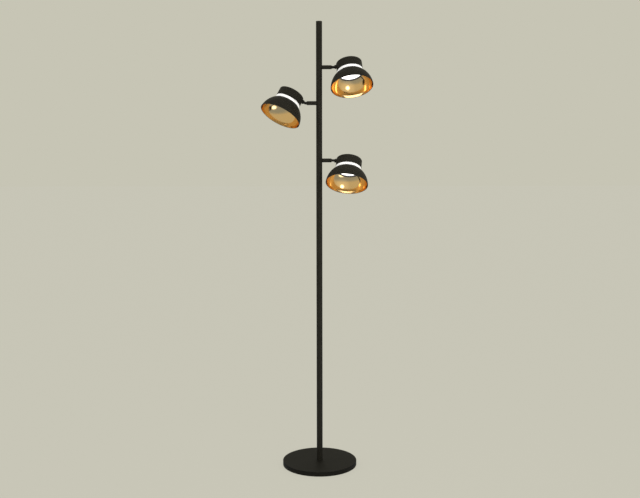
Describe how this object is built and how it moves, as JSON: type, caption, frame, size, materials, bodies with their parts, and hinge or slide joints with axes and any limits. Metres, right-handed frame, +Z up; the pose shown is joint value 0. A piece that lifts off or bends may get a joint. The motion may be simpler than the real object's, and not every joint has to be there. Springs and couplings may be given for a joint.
{
  "type": "floor lamp",
  "caption": "Floor lamp: weighted round base, slim pole and bowl-shaded spot heads on short arms, each tilting on a pin and swivelling on a hollow shank, with a glowing ring above the shade.",
  "frame": {"origin": "on the floor, under the axis of the pole", "axes": "+Z up along the pole, +X along the arms towards the side with two heads, -Y to the front, cord inlet at +Y"},
  "size_m": [0.3658, 0.2519, 1.4827],
  "materials": {
    "black_coat": "matt black powder coat with a fine texture",
    "shade_metal": "spun aluminium, matt black powder coat outside, polished gold inside",
    "black_collar": "satin black",
    "opal_ring": "opal acrylic",
    "opal_diffuser": "frosted opal",
    "white_moulding": "moulded, matt",
    "contact_brass": "turned",
    "black_screw": "black oxide",
    "zinc_steel": "zinc plated",
    "cast_ballast": "as cast",
    "foam_pad": "closed-cell foam",
    "inlet_rubber": "moulded rubber",
    "cable_jacket": "smooth jacket"
  },
  "bodies": {
    "stand": {"base_cover": "black_coat", "ballast": "cast_ballast", "base_pad": "foam_pad", "base_nipple": "zinc_steel", "base_washer": "zinc_steel", "base_nut": "zinc_steel", "cord_gland": "inlet_rubber", "terminal_block": "white_moulding", "riser_cable": "cable_jacket", "pole": "black_coat", "pole_foot": "zinc_steel", "pole_cap": "black_coat", "arm_nuts": "zinc_steel", "arm_leads": "cable_jacket", "upper_arm": "black_coat", "upper_pivot_screw": "black_screw", "upper_pivot_nut": "black_screw", "middle_arm": "black_coat", "middle_pivot_screw": "black_screw", "middle_pivot_nut": "black_screw", "lower_arm": "black_coat", "lower_pivot_screw": "black_screw", "lower_pivot_nut": "black_screw"},
    "upper_joint": {"upper_knuckle": "black_coat", "upper_shank_nut": "zinc_steel"},
    "upper_head": {"upper_housing": "black_coat", "upper_lampholder": "white_moulding", "upper_holder_screws": "zinc_steel", "upper_head_lead": "cable_jacket", "upper_lamp_body": "white_moulding", "upper_lamp_diffuser": "opal_diffuser", "upper_lamp_contacts": "contact_brass", "upper_light_ring": "opal_ring", "upper_shade": "shade_metal", "upper_shade_collar": "black_collar"},
    "middle_joint": {"middle_knuckle": "black_coat", "middle_shank_nut": "zinc_steel"},
    "middle_head": {"middle_housing": "black_coat", "middle_lampholder": "white_moulding", "middle_holder_screws": "zinc_steel", "middle_head_lead": "cable_jacket", "middle_lamp_body": "white_moulding", "middle_lamp_diffuser": "opal_diffuser", "middle_lamp_contacts": "contact_brass", "middle_light_ring": "opal_ring", "middle_shade": "shade_metal", "middle_shade_collar": "black_collar"},
    "lower_joint": {"lower_knuckle": "black_coat", "lower_shank_nut": "zinc_steel"},
    "lower_head": {"lower_housing": "black_coat", "lower_lampholder": "white_moulding", "lower_holder_screws": "zinc_steel", "lower_head_lead": "cable_jacket", "lower_lamp_body": "white_moulding", "lower_lamp_diffuser": "opal_diffuser", "lower_lamp_contacts": "contact_brass", "lower_light_ring": "opal_ring", "lower_shade": "shade_metal", "lower_shade_collar": "black_collar"}
  },
  "joints": [
    {"name": "tilt_upper", "type": "hinge", "parent": "stand", "child": "upper_joint", "pos_m": [0.0457, 0, 1.3352], "axis": [0, -1, 0], "range_deg": [-16.5, 63.5]},
    {"name": "swivel_upper", "type": "hinge", "parent": "upper_joint", "child": "upper_head", "pos_m": [0.0457, 0, 1.3352], "axis": [-0.9936, 0, -0.1132], "range_deg": [-126.8, 73.2]},
    {"name": "tilt_middle", "type": "hinge", "parent": "stand", "child": "middle_joint", "pos_m": [-0.0457, 0, 1.2192], "axis": [0, 1, 0], "range_deg": [-36.9, 43.1]},
    {"name": "swivel_middle", "type": "hinge", "parent": "middle_joint", "child": "middle_head", "pos_m": [-0.0457, 0, 1.2192], "axis": [-0.8918, 0, 0.4524], "range_deg": [-120.5, 79.5]},
    {"name": "tilt_lower", "type": "hinge", "parent": "stand", "child": "lower_joint", "pos_m": [0.0457, 0, 1.0321], "axis": [0, -1, 0], "range_deg": [-3.1, 76.9]},
    {"name": "swivel_lower", "type": "hinge", "parent": "lower_joint", "child": "lower_head", "pos_m": [0.0457, 0, 1.0321], "axis": [-0.9928, 0, 0.1201], "range_deg": [-129.2, 70.8]}
  ]
}
